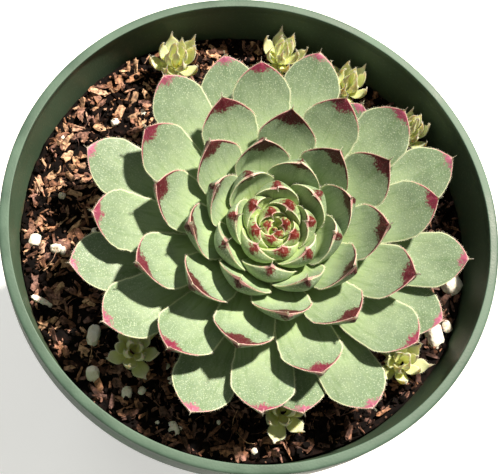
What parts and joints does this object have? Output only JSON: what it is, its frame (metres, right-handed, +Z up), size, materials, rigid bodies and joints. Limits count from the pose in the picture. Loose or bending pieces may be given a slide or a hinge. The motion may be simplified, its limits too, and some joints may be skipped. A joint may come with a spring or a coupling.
{
  "type": "potted succulent",
  "caption": "Rosette succulent with overlapping pointed leaves, a closed crown and young offsets round it, growing in soil in a round tapered nursery pot.",
  "frame": {"origin": "centre of the pot's underside, on the surface it stands on", "axes": "+Z up along the pot's axis; +X and +Y in the plane of the underside, with the plant's own axis a little towards +X"},
  "size_m": [0.102, 0.102, 0.0925],
  "materials": {
    "pot_plastic": "satin",
    "potting_soil": "matte",
    "stem_bark": "matte",
    "leaf_flesh": "satin",
    "young_leaf": "satin"
  },
  "bodies": {
    "root": {"pot": "pot_plastic", "soil": "potting_soil", "stem": "stem_bark", "crown_bud": "leaf_flesh", "leaf_16": "leaf_flesh", "leaf_17": "leaf_flesh", "leaf_18": "leaf_flesh", "leaf_19": "leaf_flesh", "leaf_20": "leaf_flesh", "leaf_21": "leaf_flesh", "leaf_22": "leaf_flesh", "leaf_23": "leaf_flesh", "leaf_24": "leaf_flesh", "leaf_25": "leaf_flesh", "leaf_26": "leaf_flesh", "leaf_27": "leaf_flesh", "leaf_28": "leaf_flesh", "leaf_29": "leaf_flesh", "leaf_30": "leaf_flesh", "leaf_31": "leaf_flesh", "leaf_32": "leaf_flesh", "leaf_33": "leaf_flesh", "leaf_34": "leaf_flesh", "leaf_35": "leaf_flesh", "leaf_36": "leaf_flesh", "leaf_37": "leaf_flesh", "leaf_38": "leaf_flesh", "leaf_39": "leaf_flesh", "leaf_40": "leaf_flesh", "leaf_41": "leaf_flesh", "leaf_42": "leaf_flesh", "leaf_43": "leaf_flesh", "leaf_44": "leaf_flesh", "leaf_45": "leaf_flesh", "leaf_46": "leaf_flesh", "leaf_47": "leaf_flesh", "leaf_48": "leaf_flesh", "leaf_49": "leaf_flesh", "leaf_50": "leaf_flesh", "leaf_51": "leaf_flesh", "leaf_52": "leaf_flesh", "leaf_53": "leaf_flesh", "leaf_54": "leaf_flesh", "leaf_55": "leaf_flesh", "leaf_56": "leaf_flesh", "leaf_57": "leaf_flesh", "leaf_58": "leaf_flesh", "leaf_59": "leaf_flesh", "leaf_60": "leaf_flesh", "leaf_61": "leaf_flesh", "leaf_62": "leaf_flesh", "leaf_63": "leaf_flesh", "leaf_64": "leaf_flesh", "offset_1": "young_leaf", "offset_2": "young_leaf", "offset_3": "young_leaf", "offset_4": "young_leaf", "offset_5": "young_leaf", "offset_6": "young_leaf", "offset_7": "young_leaf"}
  },
  "joints": []
}
